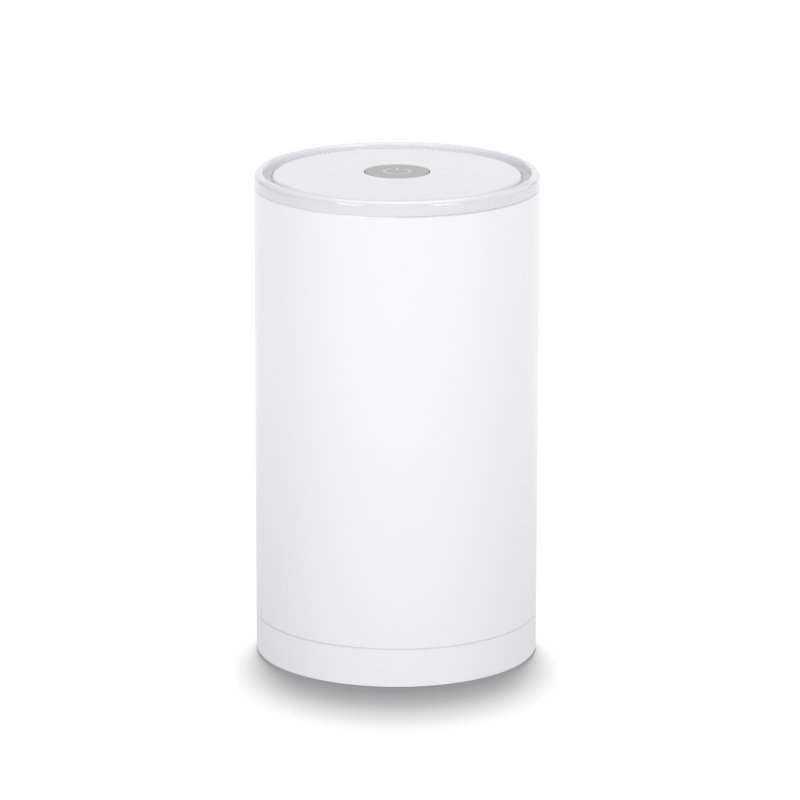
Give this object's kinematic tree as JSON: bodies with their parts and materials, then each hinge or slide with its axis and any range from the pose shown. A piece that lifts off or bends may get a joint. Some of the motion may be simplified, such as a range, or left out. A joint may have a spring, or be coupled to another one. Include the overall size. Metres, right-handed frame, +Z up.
{
  "type": "desktop air purifier",
  "caption": "Upright round desktop air purifier: lift-off housing with a fan and a top button over a base that carries a ring filter; air leaves by a slot around the top disc.",
  "frame": {"origin": "on the floor under the centre of the round body, between the feet", "axes": "+Z up along the body's axis, -Y towards the viewer at the front, +Y towards the power socket at the back"},
  "size_m": [0.1, 0.1, 0.1745],
  "materials": {
    "base_ring": "gloss white moulding",
    "inlet_plate": "fine-textured light grey moulding",
    "inlet_plate_screws": "zinc-plated",
    "rubber_feet": "matt dark rubber",
    "base_magnets": "nickel-plated",
    "filter_lower_cap": "satin white moulding",
    "filter_upper_cap": "satin white moulding",
    "filter_media": "pleated glass-fibre paper",
    "filter_core": "perforated white tube",
    "filter_carbon_sleeve": "carbon-loaded felt",
    "filter_net": "woven nylon net",
    "filter_seal": "open-cell foam",
    "outer_shell": "gloss white moulding",
    "housing_magnets": "nickel-plated",
    "top_ring": "gloss milky white moulding",
    "outlet_grille": "satin white moulding",
    "top_disc": "gloss white moulding",
    "disc_screws": "zinc-plated",
    "power_button": "satin warm grey",
    "button_symbol": "light grey inlay",
    "button_spring": "spring steel",
    "switch_body": "black moulding",
    "switch_plunger": "red-brown moulding",
    "control_board": "green solder mask",
    "board_chips": "black epoxy",
    "board_capacitors": "drawn can",
    "board_connectors": "natural nylon",
    "board_screws": "zinc-plated",
    "socket_board": "green solder mask",
    "socket_shell": "nickel-plated drawn sheet",
    "socket_tongue": "black moulding",
    "power_lead_plug": "natural nylon",
    "power_lead": "black sheath",
    "motor_lead": "red sheath",
    "fan_deck": "light grey moulding",
    "deck_screws": "zinc-plated",
    "fan_shroud": "dark grey moulding",
    "rubber_grommets": "matt dark rubber",
    "fan_screws": "zinc-plated",
    "motor_mount": "dark grey moulding",
    "bearing_tube": "turned",
    "bearing_outer_races": "ground steel",
    "bearing_inner_races": "ground steel",
    "bearing_balls": "polished steel",
    "stator_core": "laminated steel",
    "stator_insulator": "natural nylon",
    "stator_windings": "enamelled copper wire",
    "motor_board": "green solder mask",
    "rotor_can": "drawn and plated",
    "magnet_ring": "bonded ferrite",
    "motor_shaft": "ground steel",
    "shaft_washer": "thin nylon",
    "retaining_clip": "phosphated spring steel",
    "impeller": "dark grey moulding"
  },
  "bodies": {
    "base": {"base_ring": "base_ring", "inlet_plate": "inlet_plate", "inlet_plate_screws": "inlet_plate_screws", "rubber_feet": "rubber_feet", "base_magnets": "base_magnets", "filter_lower_cap": "filter_lower_cap", "filter_upper_cap": "filter_upper_cap", "filter_media": "filter_media", "filter_core": "filter_core", "filter_carbon_sleeve": "filter_carbon_sleeve", "filter_net": "filter_net", "filter_seal": "filter_seal"},
    "housing": {"outer_shell": "outer_shell", "housing_magnets": "housing_magnets", "top_ring": "top_ring", "outlet_grille": "outlet_grille", "top_disc": "top_disc", "disc_screws": "disc_screws", "switch_body": "switch_body", "control_board": "control_board", "board_chips": "board_chips", "board_capacitors": "board_capacitors", "board_connectors": "board_connectors", "board_screws": "board_screws", "socket_board": "socket_board", "socket_shell": "socket_shell", "socket_tongue": "socket_tongue", "power_lead_plug": "power_lead_plug", "power_lead": "power_lead", "motor_lead": "motor_lead", "fan_deck": "fan_deck", "deck_screws": "deck_screws", "fan_shroud": "fan_shroud", "rubber_grommets": "rubber_grommets", "fan_screws": "fan_screws", "motor_mount": "motor_mount", "bearing_tube": "bearing_tube", "bearing_outer_races": "bearing_outer_races", "bearing_balls": "bearing_balls", "stator_core": "stator_core", "stator_insulator": "stator_insulator", "stator_windings": "stator_windings", "motor_board": "motor_board"},
    "rotor": {"impeller": "impeller", "rotor_can": "rotor_can", "magnet_ring": "magnet_ring", "motor_shaft": "motor_shaft", "shaft_washer": "shaft_washer", "retaining_clip": "retaining_clip", "bearing_inner_races": "bearing_inner_races"},
    "button": {"power_button": "power_button", "button_symbol": "button_symbol", "button_spring": "button_spring", "switch_plunger": "switch_plunger"}
  },
  "joints": [
    {"name": "housing_lift", "type": "slide", "parent": "base", "child": "housing", "axis": [0, 0, 1], "range_m": [0, 0.1]},
    {"name": "impeller_spin", "type": "hinge", "parent": "housing", "child": "rotor", "pos_m": [0, 0, 0.1135], "axis": [0, 0, 1], "continuous": true},
    {"name": "button_press", "type": "slide", "parent": "housing", "child": "button", "axis": [0, 0, -1], "range_m": [0, 0.0005], "stiffness_N_per_m": 600, "deforming": ["button_spring"]}
  ]
}
